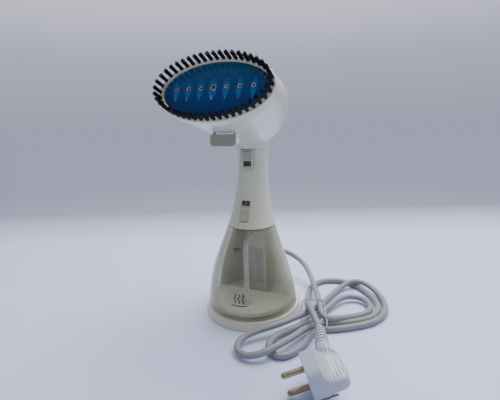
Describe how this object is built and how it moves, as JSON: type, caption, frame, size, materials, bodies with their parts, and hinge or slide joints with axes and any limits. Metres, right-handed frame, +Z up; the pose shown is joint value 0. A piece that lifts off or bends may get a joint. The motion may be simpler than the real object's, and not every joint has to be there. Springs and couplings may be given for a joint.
{
  "type": "garment steamer",
  "caption": "Handheld garment steamer on a flared base with a smoky water tank, an oval bristle-ringed steam head and a tied mains cord with a two-pin plug.",
  "frame": {"origin": "middle of the surface that the base ring stands on", "axes": "+Z up along the handle, -Y to the front, where the steam head faces, +X to the right seen from behind the front"},
  "size_m": [0.2116, 0.2354, 0.2774],
  "materials": {
    "body_plastic": "smooth moulded, satin gloss",
    "base_plastic": "smooth moulded, slightly creamier",
    "trim_plastic": "moulded, light grey",
    "tab_plastic": "fine matt moulding",
    "inner_plastic": "plain moulding",
    "tank_clear": "smoky translucent plastic, glossy",
    "tube_clear": "frosted translucent plastic",
    "blue_plate": "glossy deep blue, slightly translucent",
    "eyelet_metal": "polished",
    "bristle": "stiff nylon",
    "seal_rubber": "soft black rubber",
    "cast_aluminium": "as cast",
    "steel": "zinc plated",
    "copper_coil": "enamelled winding",
    "hose_silicone": "milky silicone",
    "board": "solder mask",
    "wire_brown": "wire insulation",
    "label_film": "printed film",
    "cord_sheath": "soft satin sheath",
    "tie_clear": "thin clear twine",
    "plug_plastic": "satin moulding",
    "pin_metal": "nickel-plated brass"
  },
  "bodies": {
    "steamer": {"rear_shell": "body_plastic", "front_cover": "body_plastic", "head_front_shell": "body_plastic", "head_rear_shell": "body_plastic", "base_ring": "base_plastic", "base_plate": "base_plastic", "switch_frame": "trim_plastic", "release_guide": "inner_plastic", "tab_bracket": "body_plastic", "tab_pin": "steel", "steam_plate": "blue_plate", "nozzle_eyelets": "eyelet_metal", "plate_gasket": "seal_rubber", "boiler": "cast_aluminium", "boiler_cover": "cast_aluminium", "heating_element": "steel", "thermostat": "steel", "thermal_fuse": "inner_plastic", "boiler_screws": "steel", "heat_shield": "cast_aluminium", "cable_duct": "body_plastic", "rating_label": "label_film", "cord_gland": "cord_sheath", "terminal_block": "inner_plastic", "pump_body": "inner_plastic", "pump_coil": "copper_coil", "pump_cap": "inner_plastic", "pump_spring": "steel", "release_spring": "steel", "inlet_seal": "seal_rubber", "outlet_hose": "hose_silicone", "control_board": "board", "supply_wires": "wire_brown", "heater_wires": "wire_brown", "switch_body": "inner_plastic", "base_screws": "steel", "shell_screws": "steel", "rubber_feet": "seal_rubber", "cord_fall": "cord_sheath", "cord_hank": "cord_sheath", "cord_lead": "cord_sheath", "cord_tie": "tie_clear", "plug_body": "plug_plastic", "plug_relief": "plug_plastic", "plug_pins": "pin_metal"},
    "switch_slider": {"power_switch": "trim_plastic"},
    "release_slider": {"tank_release": "trim_plastic"},
    "tank": {"water_tank": "tank_clear", "tank_valve": "seal_rubber", "filler_plug": "seal_rubber", "suction_tube": "tube_clear", "suction_filter": "tube_clear"},
    "brush": {"brush_ring": "body_plastic", "bristle_tufts": "bristle"},
    "brush_tab": {"release_tab": "tab_plastic"},
    "piston": {"pump_piston": "steel"}
  },
  "joints": [
    {"name": "power_slide", "type": "slide", "parent": "steamer", "child": "switch_slider", "axis": [0, 0, -1], "range_m": [0, 0.0055]},
    {"name": "tank_release_slide", "type": "slide", "parent": "steamer", "child": "release_slider", "axis": [0, 0.3291, 0.9443], "range_m": [0, 0.0045], "stiffness_N_per_m": 300, "springref_m": -0.001, "deforming": ["release_spring"]},
    {"name": "tank_pull", "type": "slide", "parent": "steamer", "child": "tank", "axis": [0, -1, 0], "range_m": [0, 0.01]},
    {"name": "brush_pull", "type": "slide", "parent": "steamer", "child": "brush", "axis": [0, -0.9135, 0.4067], "range_m": [0, 0.012]},
    {"name": "brush_tab_hinge", "type": "hinge", "parent": "steamer", "child": "brush_tab", "pos_m": [0, -0.0599, 0.2049], "axis": [1, 0, 0], "range_deg": [0, 10], "stiffness_Nm_per_rad": 0.05, "springref_deg": -2.86},
    {"name": "pump_stroke", "type": "slide", "parent": "steamer", "child": "piston", "axis": [0, 0, 1], "range_m": [0, 0.003], "stiffness_N_per_m": 200, "springref_m": -0.001, "deforming": ["pump_spring"]}
  ]
}
